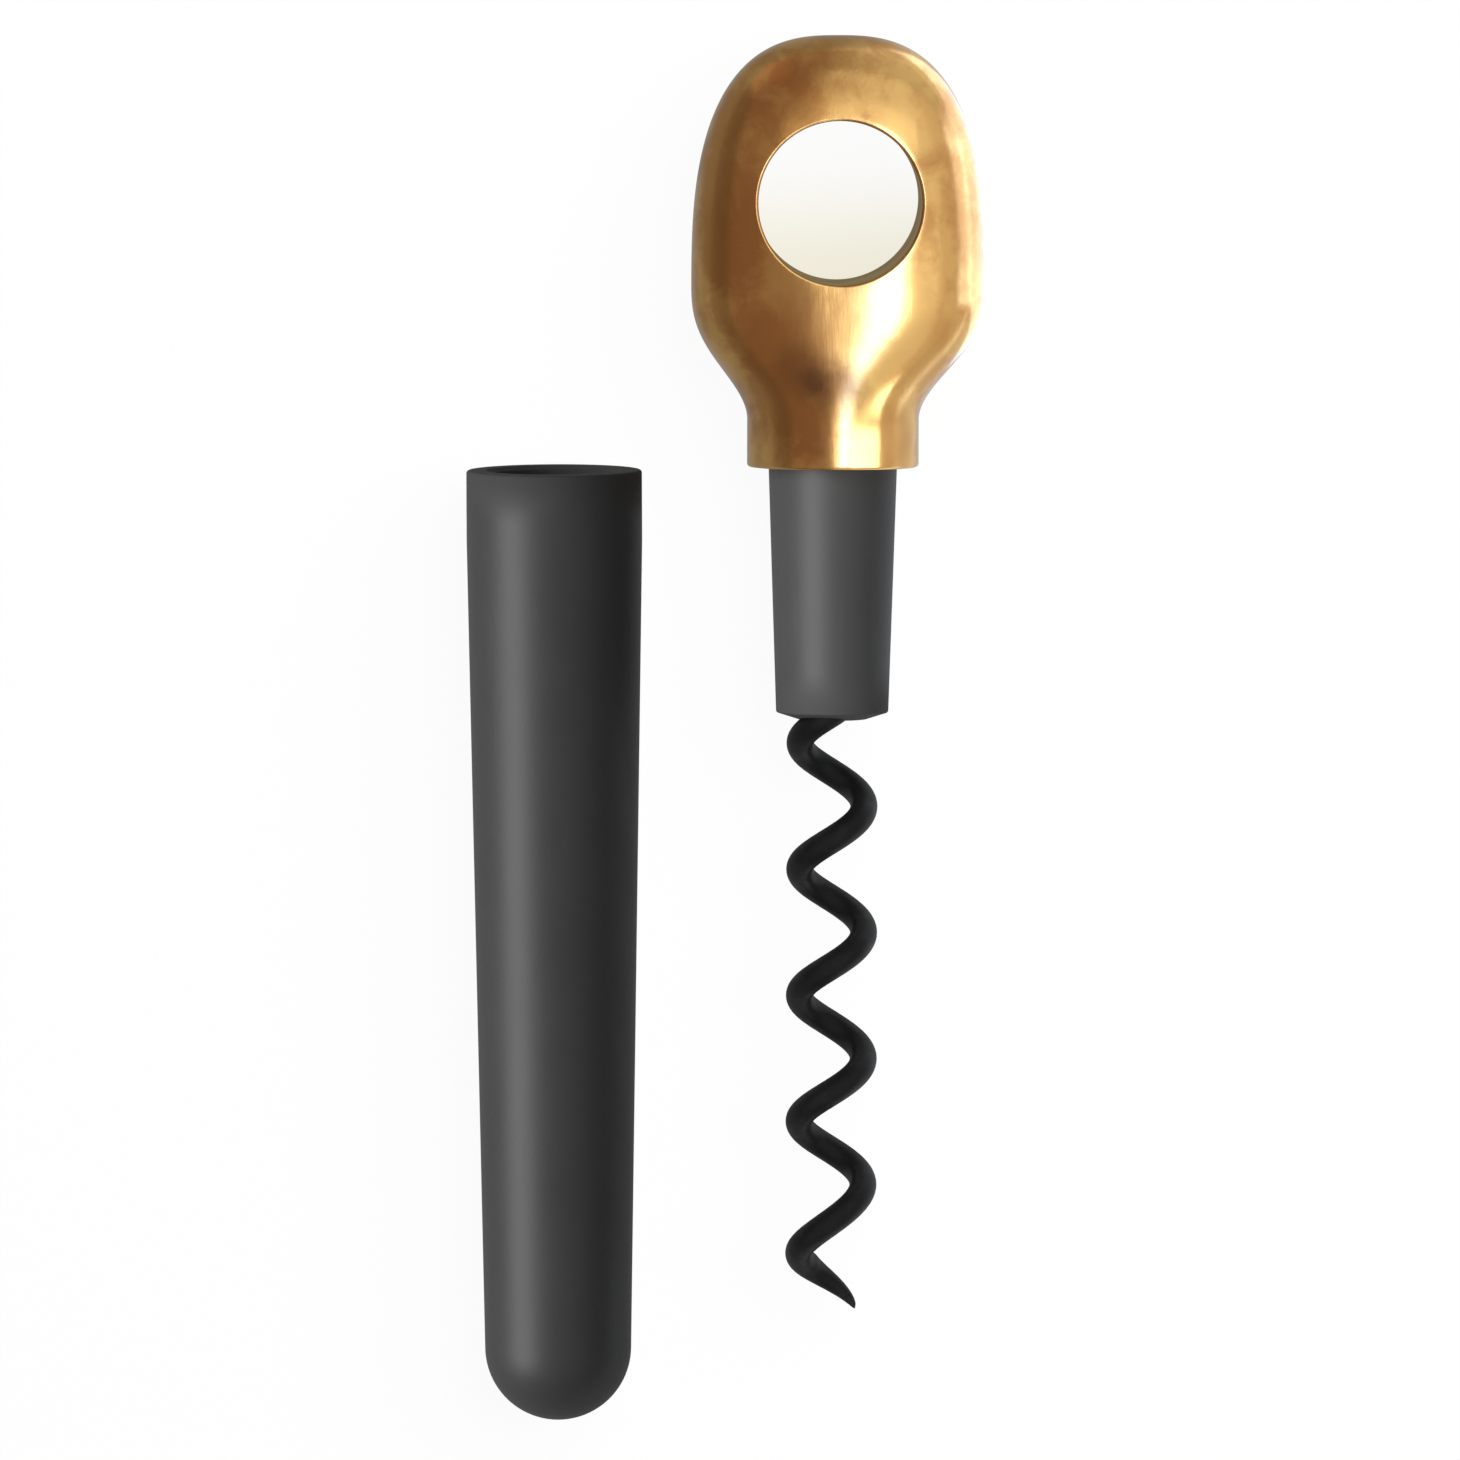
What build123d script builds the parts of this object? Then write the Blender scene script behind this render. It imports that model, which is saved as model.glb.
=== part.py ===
from build123d import *
import math
import os

# A pocket corkscrew that lies on a table beside its sheath.
# The brass head carries a plug and a worm. In use the sheath goes through the eye as a crossbar.
# X runs to the right, Y runs along the screw towards the head, and Z runs up from the table.
# Heights along the screw start at the seat, the neck's end face, and grow towards the head.

# Head: one casting, round at the neck and broad at the bow
neck_diameter = 17.1
neck_length = 4.7
head_length = 43.0
bow_width = 29.3
bow_height = 18.2
bow_thickness = 17.1
bow_lean = 0.5
shoulder_bias = 1.35
crown_front_power = 2.7
crown_side_power = 2.4
neck_section_power = 2.0
bow_section_power = 2.5
eye_height = 26.5
eye_under_mouth = 1.2
eye_edge_radius = 0.25
neck_edge_radius = 0.35
outline_points = 32
neck_sections = 5
shoulder_sections = 12
shoulder_spread = 1.3
crown_section_angles = (4, 9, 16, 26, 37, 47, 57, 66, 74, 80, 84.5, 87.5)
eye_web = 2.3
drill_point_angle = 118.0

# Plug: the tapered collar that is moulded round the spindle and the worm's root.
# Its end swells a little round the place where the worm leaves it.
plug_top_diameter = 12.8
plug_end_diameter = 11.2
plug_length = 24.5
plug_end_radius = 0.25
plug_boss_diameter = 6.8
plug_boss_height = 0.7
plug_boss_edge_radius = 0.8
plug_tail_length = 11.0
spigot_step = 0.4
spigot_height = 2.0
spigot_edge_chamfer = 0.3

# Spindle: the steel core that screws into the head and holds the worm's shank
stud_diameter = 6.0
stud_end_gap = 1.2
stud_chamfer = 0.6
spindle_width = 8.0
shank_bore_depth = 11.5
grip_groove_width = 0.8
grip_groove_depth = 0.45
grip_groove_margin = 0.6

# Worm: right-handed wire with a bent root, a straight shank and a ground point
wire_diameter = 2.7
worm_diameter = 9.1
worm_pitch = 12.62
worm_turns = 4.25
worm_lead_in = 0.1
last_turn_sag = 0.6
last_turn_start = 0.5
root_straight_length = 2.1
point_sections = (0, 0.15, 0.3, 0.45, 0.6, 0.74, 0.86, 0.95, 0.985, 1)
shank_end_play = 0.4
shank_flat_depth = 0.35
shank_flat_margin = 1.0
point_turn = 0.415
point_full_share = 0.3
point_power = 0.6
point_radius = 0.12
gap_points = 400

# Clamp screws: hexagon socket set screws that press on the shank's flat
screw_diameter = 3.0
screw_margin = 1.7
screw_spacing = 4.0
screw_socket_width = 1.5
screw_socket_depth = 1.2
screw_chamfer = 0.3

# Lock washer between the spindle's shoulder and the head
washer_thickness = 0.6
washer_rim_gap = 0.5
washer_teeth = 8
washer_slot_width = 1.0
washer_slot_depth = 1.2

# Sheath: one hollow moulding with a land at its mouth, a long taper and a round end
mouth_overhang = 0.2
mouth_land_length = 7.0
end_radius = 7.3
end_wall = 2.3
worm_side_gap = 0.95
worm_end_gap = 9.5
socket_end_gap = 0.6
mouth_edge_radius = 0.3
mouth_lead_chamfer = 0.4

# Places of the two groups on the table, as they lie side by side
axis_gap = 27.47
mouth_below_seat = 0.35
sheath_skew = 0.38

# Clearances and one overrun for cuts
thread_clearance = 0.05
washer_clearance = 0.2
spigot_clearance = 0.06
shank_clearance = 0.03
socket_clearance = 0.06
overrun = 1.0

# Sizes of the plug, the spindle and the worm that follow from those above
neck_radius = neck_diameter / 2
wire_radius = wire_diameter / 2
worm_radius = (worm_diameter - wire_diameter) / 2
spigot_radius = plug_top_diameter / 2 - spigot_step
socket_depth = spigot_height + washer_thickness
spindle_radius = spindle_width / 2
spindle_bottom = plug_tail_length - plug_length
screw_heights = [
    spindle_bottom + screw_margin + screw_diameter / 2 + screw_spacing * number
    for number in range(2)
]
worm_start_height = worm_lead_in - plug_length
worm_reach = plug_length + worm_pitch * (worm_turns + point_turn)

# Sizes of the sheath, and of the eye and the stud's hole in the head
mouth_radius = neck_radius + mouth_overhang
worm_bore_radius = worm_diameter / 2 + worm_side_gap
sheath_length = worm_reach + worm_end_gap + end_wall
eye_radius = mouth_radius - eye_under_mouth / 2
stud_hole_radius = stud_diameter / 2 + thread_clearance
drill_point = stud_hole_radius / math.tan(math.radians(drill_point_angle / 2))
stud_hole_depth = eye_height - eye_radius - eye_web - drill_point
stud_length = stud_hole_depth - stud_end_gap - spigot_height

# The two groups are set out so that the middle of their footprint is the origin
skew = math.radians(sheath_skew)
mouth_x_gap = axis_gap + sheath_length / 2 * math.sin(skew)
right_side = bow_lean + bow_width / 2
left_side = mouth_x_gap + mouth_radius
screw_x = (left_side - right_side) / 2
seat_y = (mouth_below_seat + sheath_length - head_length) / 2
axis_height = max(neck_diameter, bow_thickness) / 2
seat = Vector(screw_x, seat_y, axis_height)
screw_axis = Axis(seat, (0, 1, 0))

# Plane through the screw's axis, where the half profiles of turned pieces are drawn
screw_profile = Plane(seat)


def along_screw(height, shift=0):
    """Plane square to the screw's axis at a height over the seat, facing the head."""
    return Plane(seat + (shift, height, 0), x_dir=(1, 0, 0), z_dir=(0, 1, 0))


def beside_screw(height, distance=0):
    """Plane at a height over the seat and a distance from the axis, facing right."""
    return Plane(seat + (distance, height, 0), z_dir=(1, 0, 0))


def shoulder_share(height):
    """How far the head has grown from the neck, 0, to the bow's widest place, 1."""
    fall = (bow_height - height) / (bow_height - neck_length)
    fall = min(max(fall, 0), 1)
    return (1 + math.cos(math.pi * fall**shoulder_bias)) / 2


def crown_share(height, power):
    """How much of the bow is left above its widest place: 1 there and 0 at the top."""
    rise = max(0, (height - bow_height) / (head_length - bow_height))
    return max(0, 1 - rise**power) ** (1 / power)


def blend(neck_value, bow_value, height):
    """A value that goes from the neck's to the bow's over the shoulder."""
    return neck_value + (bow_value - neck_value) * shoulder_share(height)


def head_section(height):
    """Points of the head's outline at a height: a superellipse, by its polar radius."""
    half_width = blend(neck_radius, bow_width / 2, height)
    half_width *= crown_share(height, crown_front_power)
    half_depth = blend(neck_radius, bow_thickness / 2, height)
    half_depth *= crown_share(height, crown_side_power)
    power = blend(neck_section_power, bow_section_power, height)
    outline = []
    for step in range(outline_points):
        angle = 2 * math.pi * step / outline_points
        across = abs(math.cos(angle)) / half_width
        deep = abs(math.sin(angle)) / half_depth
        reach = (across**power + deep**power) ** (-1 / power)
        outline.append((reach * math.cos(angle), reach * math.sin(angle)))
    return outline


def head_heights():
    """Heights of the head's sections, closer together where its outline turns faster."""
    heights = [neck_length * step / neck_sections for step in range(neck_sections + 1)]
    for step in range(1, shoulder_sections + 1):
        share = (step / shoulder_sections) ** shoulder_spread
        heights.append(neck_length + (bow_height - neck_length) * share)
    for angle in crown_section_angles:
        share = math.sin(math.radians(angle)) ** (2 / crown_front_power)
        heights.append(bow_height + (head_length - bow_height) * share)
    return heights


with BuildPart() as head:
    for height in head_heights():
        with BuildSketch(along_screw(height, bow_lean * shoulder_share(height))):
            with BuildLine():
                Spline(*head_section(height), periodic=True)
            make_face()
    loft()

    # The socket for the plug's spigot and the washer, and the hole for the stud
    with BuildSketch(along_screw(0)):
        Circle(spigot_radius + spigot_clearance)
    extrude(amount=socket_depth, mode=Mode.SUBTRACT)
    with BuildSketch(screw_profile):
        with BuildLine():
            Polyline(
                (0, 0),
                (stud_hole_radius, 0),
                (stud_hole_radius, stud_hole_depth),
                (0, stud_hole_depth + drill_point),
                close=True,
            )
        make_face()
    revolve(axis=screw_axis, mode=Mode.SUBTRACT)

    # The eye
    eye_centre = seat + (bow_lean, eye_height, 0)
    with BuildSketch(Plane(eye_centre)):
        Circle(eye_radius)
    extrude(amount=axis_height + overrun, both=True, mode=Mode.SUBTRACT)
    eye_wall = head.faces().filter_by(GeomType.CYLINDER).sort_by(Axis.Y)[-1]
    fillet(eye_wall.edges().filter_by(GeomType.LINE, reverse=True), eye_edge_radius)
    neck_rim = head.edges().group_by(Axis.Y)[0].sort_by(SortBy.LENGTH)[-1]
    fillet(neck_rim, neck_edge_radius)
head.part.label = "head"


with BuildPart() as lock_washer:
    with BuildSketch(along_screw(spigot_height)):
        washer_hole_radius = stud_diameter / 2 + washer_clearance
        Circle(spigot_radius - washer_rim_gap)
        Circle(washer_hole_radius, mode=Mode.SUBTRACT)
        with PolarLocations(washer_hole_radius, washer_teeth):
            Rectangle(2 * washer_slot_depth, washer_slot_width, mode=Mode.SUBTRACT)
    extrude(amount=washer_thickness)
lock_washer.part.label = "lock_washer"


with BuildPart() as spindle:
    with BuildSketch(along_screw(spindle_bottom)):
        RegularPolygon(spindle_radius, 6, major_radius=False, rotation=30)
    extrude(amount=spigot_height - spindle_bottom)
    with BuildSketch(along_screw(spigot_height)):
        Circle(stud_diameter / 2)
    extrude(amount=stud_length)
    chamfer(spindle.edges().group_by(Axis.Y)[-1], stud_chamfer)

    # Grooves that the plug's moulding grips
    upper_groove = -grip_groove_margin - grip_groove_width
    for height in (upper_groove, spindle_bottom + grip_groove_margin):
        with BuildSketch(along_screw(height)):
            Circle(spindle_width)
            Circle(spindle_radius - grip_groove_depth, mode=Mode.SUBTRACT)
        extrude(amount=grip_groove_width, mode=Mode.SUBTRACT)

    # The bore for the worm's shank and the threaded holes for its clamp screws
    with BuildSketch(along_screw(spindle_bottom)):
        Circle(wire_radius + shank_clearance)
    extrude(amount=shank_bore_depth, mode=Mode.SUBTRACT)
    for height in screw_heights:
        with BuildSketch(beside_screw(height)):
            Circle(screw_diameter / 2)
        extrude(amount=spindle_width, mode=Mode.SUBTRACT)
spindle.part.label = "spindle"


def clamp_screw(height, label):
    """A set screw in the spindle's wall at a height, with its hexagon socket outwards."""
    foot = wire_radius - shank_flat_depth
    with BuildPart() as screw:
        with BuildSketch(beside_screw(height, foot)):
            Circle(screw_diameter / 2)
        extrude(amount=spindle_radius - foot)
        chamfer(screw.edges().group_by(Axis.X)[0], screw_chamfer)
        with BuildSketch(beside_screw(height, spindle_radius)):
            RegularPolygon(screw_socket_width / 2, 6, major_radius=False)
        extrude(amount=-screw_socket_depth, mode=Mode.SUBTRACT)
    screw.part.label = label
    return screw.part


clamp_screws = [
    clamp_screw(screw_heights[0], "clamp_screw_lower"),
    clamp_screw(screw_heights[1], "clamp_screw_upper"),
]


def outward(turns):
    """Direction from the axis to the worm's centreline, in turns down from its start."""
    angle = -2 * math.pi * turns
    return Vector(math.sin(angle), 0, math.cos(angle))


def last_turn_share(turns):
    """How far along the last, looser stretch that is: 0 where it starts and 1 at the point."""
    share = (turns - worm_turns + last_turn_start) / (last_turn_start + point_turn)
    return min(max(share, 0), 1)


def helix_point(turns):
    """Point of the worm's centreline there."""
    sag = last_turn_sag * math.sin(math.pi * last_turn_share(turns)) ** 2
    height = worm_start_height - worm_pitch * turns - sag
    return seat + (0, height, 0) + outward(turns) * worm_radius


def helix_direction(turns):
    """Direction of the worm's centreline there, towards the point."""
    steepest = math.pi * last_turn_sag / (last_turn_start + point_turn)
    sag_slope = steepest * math.sin(2 * math.pi * last_turn_share(turns))
    lead = (worm_pitch + sag_slope) / (2 * math.pi)
    return Vector(0, -lead, 0) + outward(turns + 1 / 4) * worm_radius


def biarc(start, start_direction, end, end_direction):
    """Two arcs, tangent to each other, from one point and direction to another."""
    chord = end - start
    start_direction = start_direction.normalized()
    end_direction = end_direction.normalized()
    both = start_direction + end_direction
    spread = 2 * (1 - start_direction.dot(end_direction))
    along = chord.dot(both)
    reach = (math.sqrt(along**2 + spread * chord.dot(chord)) - along) / spread
    joint = (start + start_direction * reach + end - end_direction * reach) * 0.5
    first = TangentArc(start, joint, tangent=start_direction)
    TangentArc(joint, end, tangent=first % 1)


def point_section(share):
    """Radius of the wire in its last part of a turn: full at first, then ground to a point."""
    ground = (share - point_full_share) / (1 - point_full_share)
    ground = min(max(ground, 0), 1)
    return point_radius + (wire_radius - point_radius) * (1 - ground) ** point_power


def point_place(share):
    """Plane across the wire there, lower as its upper side is ground away."""
    turns = worm_turns + point_turn * share
    direction = helix_direction(turns)
    below = outward(turns).cross(direction).normalized()
    middle = helix_point(turns) + below * (wire_radius - point_section(share))
    return Plane(middle, x_dir=outward(turns), z_dir=direction)


def least_gap(path, diameter, apart):
    """Least gap between stretches of a tube whose places on its path are a length apart."""
    places = [path @ (step / gap_points) for step in range(gap_points + 1)]
    skip = math.ceil(apart / path.length * gap_points)
    return min(
        (place - other).length - diameter
        for number, place in enumerate(places)
        for other in places[number + skip :]
    )


shank_top = seat + (0, spindle_bottom + shank_bore_depth - shank_end_play, 0)
shank_foot = seat + (0, spindle_bottom - root_straight_length, 0)
with BuildPart() as worm:
    with BuildLine() as centreline:
        Line(shank_top, shank_foot)
        biarc(shank_foot, Vector(0, -1, 0), helix_point(0), helix_direction(0))
        for quarter in range(int(4 * worm_turns)):
            biarc(
                helix_point(quarter / 4),
                helix_direction(quarter / 4),
                helix_point((quarter + 1) / 4),
                helix_direction((quarter + 1) / 4),
            )
    # The ground point, through round sections square to the centreline
    for share in point_sections:
        with BuildSketch(point_place(share)):
            Circle(point_section(share))
    loft()

    # The rest of the wire, in one sweep
    with BuildSketch(Plane(shank_top, z_dir=(0, -1, 0))):
        Circle(wire_radius)
    sweep(path=centreline.wire())

    # The flat that the clamp screws press on
    flat_low = min(screw_heights) - screw_diameter / 2 - shank_flat_margin
    with BuildSketch(along_screw(flat_low)):
        with Locations((wire_radius - shank_flat_depth, 0)):
            Rectangle(wire_diameter, wire_diameter, align=(Align.MIN, Align.CENTER))
    extrude(amount=-flat_low, mode=Mode.SUBTRACT)
worm.part.label = "worm"
half_turn = math.hypot(math.pi * worm_radius, worm_pitch / 2)
worm_gap = least_gap(centreline.wire(), wire_diameter, half_turn)
print(f"least gap of the worm to itself: {worm_gap:.2f} mm")


with BuildPart() as plug:
    with BuildSketch(screw_profile):
        with BuildLine():
            Polyline(
                (0, spigot_height),
                (spigot_radius, spigot_height),
                (spigot_radius, 0),
                (plug_top_diameter / 2, 0),
                (plug_end_diameter / 2, -plug_length),
                (plug_boss_diameter / 2, -plug_length - plug_boss_height),
                (0, -plug_length - plug_boss_height),
                close=True,
            )
        make_face()
    revolve(axis=screw_axis)
    fillet(plug.edges().group_by(Axis.Y)[0], plug_boss_edge_radius)
    end_rim = plug.edges().filter_by(GeomType.CIRCLE).sort_by(SortBy.RADIUS)
    fillet(end_rim.filter_by(lambda edge: edge.center().Y < seat_y - 1)[-1], plug_end_radius)
    chamfer(plug.edges().group_by(Axis.Y)[-1], spigot_edge_chamfer)
    for embedded in (spindle.part, worm.part, *clamp_screws):
        add(embedded, mode=Mode.SUBTRACT)
plug.part.label = "plug"


def taper_slope(start_radius, start_depth, ball_radius):
    """Angle at which a wall that starts at a radius and depth meets the end's ball."""
    run = sheath_length - end_radius - start_depth
    reach = math.hypot(start_radius, run)
    return math.acos(ball_radius / reach) - math.atan2(run, start_radius)


def tapered_end(start_radius, start_depth, ball_radius):
    """Line down a tapered wall to the ball at the round end, and the ball's arc."""
    slope = taper_slope(start_radius, start_depth, ball_radius)
    ball_depth = sheath_length - end_radius
    touch = (
        ball_radius * math.cos(slope),
        -ball_depth - ball_radius * math.sin(slope),
    )
    Line((start_radius, -start_depth), touch)
    CenterArc((0, -ball_depth), ball_radius, -90, 90 - math.degrees(slope))


# The sheath lies on its tapered side, so its axis dips towards the round end
dip = taper_slope(mouth_radius, mouth_land_length, end_radius)
mouth_height = mouth_radius * math.cos(dip) + mouth_land_length * math.sin(dip)
sheath_profile = Plane(
    (screw_x - mouth_x_gap, seat_y - mouth_below_seat, mouth_height),
    x_dir=(math.cos(skew), math.sin(skew), 0),
    z_dir=Vector(0, -math.sin(dip), math.cos(dip)).rotate(Axis.Z, sheath_skew),
)
sheath_axis = Axis(sheath_profile.origin, sheath_profile.y_dir)

with BuildPart() as sheath:
    with BuildSketch(sheath_profile):
        with BuildLine():
            tapered_end(mouth_radius, mouth_land_length, end_radius)
            Polyline(
                (mouth_radius, -mouth_land_length),
                (mouth_radius, 0),
                (0, 0),
                (0, -sheath_length),
            )
        make_face()
    revolve(axis=sheath_axis)

    # The socket that grips the plug, and the bore that clears the worm
    socket_floor = plug_length + socket_end_gap
    inner_ball = end_radius - end_wall
    socket_mouth_radius = plug_top_diameter / 2 + socket_clearance
    socket_floor_radius = plug_end_diameter / 2 + socket_clearance
    with BuildSketch(sheath_profile):
        with BuildLine():
            tapered_end(worm_bore_radius, socket_floor, inner_ball)
            Polyline(
                (worm_bore_radius, -socket_floor),
                (socket_floor_radius, -socket_floor),
                (socket_mouth_radius, 0),
                (0, 0),
                (0, -(sheath_length - end_wall)),
            )
        make_face()
    revolve(axis=sheath_axis, mode=Mode.SUBTRACT)
    mouth_edges = sheath.faces().sort_by(sheath_axis)[-1].edges().sort_by(SortBy.LENGTH)
    fillet(mouth_edges[-1], mouth_edge_radius)
    mouth_edges = sheath.faces().sort_by(sheath_axis)[-1].edges().sort_by(SortBy.LENGTH)
    chamfer(mouth_edges[0], mouth_lead_chamfer)
sheath.part.label = "sheath"


os.makedirs("parts", exist_ok=True)
pieces = [
    head.part,
    lock_washer.part,
    spindle.part,
    *clamp_screws,
    worm.part,
    plug.part,
    sheath.part,
]
for piece in pieces:
    export_step(piece, f"parts/{piece.label}.step")
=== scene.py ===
import math

import bmesh
import bpy
import numpy as np
from mathutils import Matrix, Vector


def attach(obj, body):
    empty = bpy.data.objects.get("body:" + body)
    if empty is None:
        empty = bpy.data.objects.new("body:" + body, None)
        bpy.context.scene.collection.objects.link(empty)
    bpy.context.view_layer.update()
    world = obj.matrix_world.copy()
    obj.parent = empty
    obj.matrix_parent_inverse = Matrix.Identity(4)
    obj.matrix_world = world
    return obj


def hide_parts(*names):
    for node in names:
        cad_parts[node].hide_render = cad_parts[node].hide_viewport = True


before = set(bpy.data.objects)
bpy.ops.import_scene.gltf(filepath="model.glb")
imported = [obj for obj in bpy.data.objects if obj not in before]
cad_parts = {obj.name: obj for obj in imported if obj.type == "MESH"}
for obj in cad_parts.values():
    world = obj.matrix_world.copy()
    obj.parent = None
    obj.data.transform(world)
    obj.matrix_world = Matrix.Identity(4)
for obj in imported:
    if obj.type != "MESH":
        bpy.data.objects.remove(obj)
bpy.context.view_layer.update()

print("loaded", len(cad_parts), "CAD nodes")

# Sizes in the pieces' dictionaries are in millimetres, and meshes are written in metres.
# Heights along the screw start at the neck's end face and grow towards the head.
mm = 0.001
alongScrew = np.array([0, 1.0, 0])
acrossScrew = np.array([1.0, 0, 0])

meshing = {
    "sameWithin": 3e-7,  # metres: points nearer than this are one point
    "sharpAngle": 35,    # degrees
}


# Small tools that every piece uses

def unit(vectors):
    # Each vector over its own length
    return vectors / np.linalg.norm(vectors, axis=-1, keepdims=True)


def gridFaces(rows, columns):
    # Quads between each place of a grid and its next ones. The last column goes on to the first.
    index = np.arange(rows * columns).reshape(rows, columns)
    index = np.hstack([index, index[:, :1]])
    corners = [index[:-1, :-1], index[:-1, 1:], index[1:, 1:], index[1:, :-1]]
    return np.stack(corners, -1).reshape(-1, 4)


def makePiece(name, grids):
    # One closed mesh from grids of points, rows by columns by 3, whose columns go once round
    points, faces, first = [], [], 0
    for grid in grids:
        rows, columns = grid.shape[:2]
        points.append(grid.reshape(-1, 3))
        faces.append(gridFaces(rows, columns) + first)
        first += rows * columns
    mesh = bpy.data.meshes.new(name)
    mesh.from_pydata((np.concatenate(points) * mm).tolist(), [], np.concatenate(faces).tolist())
    work = bmesh.new()
    work.from_mesh(mesh)
    bmesh.ops.remove_doubles(work, verts=work.verts, dist=meshing["sameWithin"])  # closes seams and poles
    bmesh.ops.recalc_face_normals(work, faces=work.faces)
    openEdges = sum(1 for edge in work.edges if len(edge.link_faces) != 2)
    work.to_mesh(mesh)
    work.free()
    mesh.shade_smooth()
    mesh.set_sharp_from_angle(angle=math.radians(meshing["sharpAngle"]))
    piece = bpy.data.objects.new(name, mesh)
    bpy.context.scene.collection.objects.link(piece)
    print("made", name, len(mesh.polygons), "faces,", openEdges, "open edges")
    return piece


def lineRows(start, end, count):
    # Points of a profile's straight run, closer together at its two ends: the share is half of 1 - cos
    share = (1 - np.cos(np.linspace(0, np.pi, count + 1))) / 2
    return np.array(start) + (np.array(end) - np.array(start)) * share[:, None]


def arcRows(centre, radius, fromAngle, toAngle, count):
    # Points of a profile's arc: centre + radius times (cos, sin) of an even run of angles, in radians
    angle = np.linspace(fromAngle, toAngle, count + 1)[:, None]
    return np.array(centre) + radius * np.hstack([np.cos(angle), np.sin(angle)])


def roundedCorner(before, corner, after, radius, count):
    # Points of the arc that rounds a profile's corner.
    # Each end lies radius x tan(half the turn) from the corner.
    corner = np.array(corner, float)
    arrive = unit(corner - before)
    leave = unit(np.array(after, float) - corner)
    turn = math.atan2(arrive[0] * leave[1] - arrive[1] * leave[0], arrive @ leave)
    start = corner - arrive * radius * math.tan(abs(turn) / 2)
    side = np.array([-arrive[1], arrive[0]]) * math.copysign(1, turn)
    angle = np.linspace(0, abs(turn), count + 1)[:, None]
    return start + radius * (arrive * np.sin(angle) + side * (1 - np.cos(angle)))


def turned(profile, origin, along, across, count):
    # A profile of (radius, height) points carried round an axis, a ring for each point:
    # origin + along x height + radius x (across x cos + third x sin)
    third = np.cross(along, across)
    angle = np.linspace(0, 2 * np.pi, count, endpoint=False)[None, :, None]
    radius, height = profile[:, 0, None, None], profile[:, 1, None, None]
    return origin + along * height + radius * (across * np.cos(angle) + third * np.sin(angle))


# Head: one burnished casting, round at the neck, broad at the bow, with an eye right through

headShape = {
    "neckRadius": 8.55,
    "neckLength": 4.7,
    "headLength": 43.0,
    "bowWidth": 29.3,
    "bowHeight": 18.2,
    "bowThickness": 17.1,
    "bowLean": 0.5,
    "shoulderBias": 1.35,
    "crownFrontPower": 2.7,
    "crownSidePower": 2.4,
    "neckPower": 2.0,
    "bowPower": 2.5,
    "eyeHeight": 26.5,
    "eyeRadius": 8.15,
    "eyeEdge": 0.25,
    "neckEdge": 0.35,
    "socketRadius": 6.06,
    "socketDepth": 2.6,
    "studHoleRadius": 3.05,
    "studHoleDepth": 14.21,
    "drillPoint": 1.83,
    "sideSteps": 230,       # places up each side of the head's plan
    "footSteps": 72,        # and along its foot
    "faceSteps": 46,        # places from the eye to the outline
    "faceCrowding": 2.5,    # the power that draws them together at the outline
    "edgeSteps": 8,         # places round the eye's rounded edge
    "wallSteps": 9,         # and down the eye's wall
    "neckEdgeSteps": 6,     # steps of the neck's end: its rounded rim,
    "neckFaceSteps": 4,     # its flat face,
    "socketSteps": 4,       # the socket's wall
    "socketFloorSteps": 3,  # and floor,
    "holeSteps": 6,         # the hole's wall
    "drillSteps": 3,        # and its drilled point
    "rimSamples": 6000,     # fine places that the even steps of the plan are taken from
    "slopeStep": 1e-3,      # how far to each side the face's height is taken for its slope
    "footSlack": 1e-6,      # a place of the rim that is higher than this over the foot is on a side
    "leastWidth": 1e-9,     # stands for no width at the crown's tip
}


def shoulderShare(height):
    # Growth from the neck, 0, to the bow, 1: half of 1 + cos(pi x fall to the bias),
    # where fall runs from the bow's widest place down to the neck
    h = headShape
    fall = np.clip((h["bowHeight"] - height) / (h["bowHeight"] - h["neckLength"]), 0, 1)
    return (1 + np.cos(np.pi * fall ** h["shoulderBias"])) / 2


def crownShare(height, power):
    # What is left above the bow's widest place: (1 - rise to the power) to the 1 / power
    h = headShape
    rise = np.clip((height - h["bowHeight"]) / (h["headLength"] - h["bowHeight"]), 0, 1)
    return np.maximum(0, 1 - rise ** power) ** (1 / power)


def headHalfWidth(height):
    # From the neck's radius to half the bow's width, times the crown's share
    h = headShape
    grown = h["neckRadius"] + (h["bowWidth"] / 2 - h["neckRadius"]) * shoulderShare(height)
    return grown * crownShare(height, h["crownFrontPower"])


def headRise(across, height):
    # Height of the head's face over its middle plane:
    # half depth x (1 - (distance from the leaning middle / half width) to the power) to the 1 / power
    h = headShape
    share = shoulderShare(height)
    depth = h["neckRadius"] + (h["bowThickness"] / 2 - h["neckRadius"]) * share
    depth = depth * crownShare(height, h["crownSidePower"])
    power = h["neckPower"] + (h["bowPower"] - h["neckPower"]) * share
    out = np.abs(across - h["bowLean"] * share) / np.maximum(headHalfWidth(height), h["leastWidth"])
    return depth * np.maximum(0, 1 - np.minimum(out, 1) ** power) ** (1 / power)


def evenSteps(line, count):
    # The same line with count points at even steps of its length
    length = np.concatenate([[0], np.cumsum(np.linalg.norm(np.diff(line, axis=0), axis=1))])
    wanted = np.linspace(0, length[-1], count)
    return np.stack([np.interp(wanted, length, line[:, 0]), np.interp(wanted, length, line[:, 1])], -1)


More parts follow.
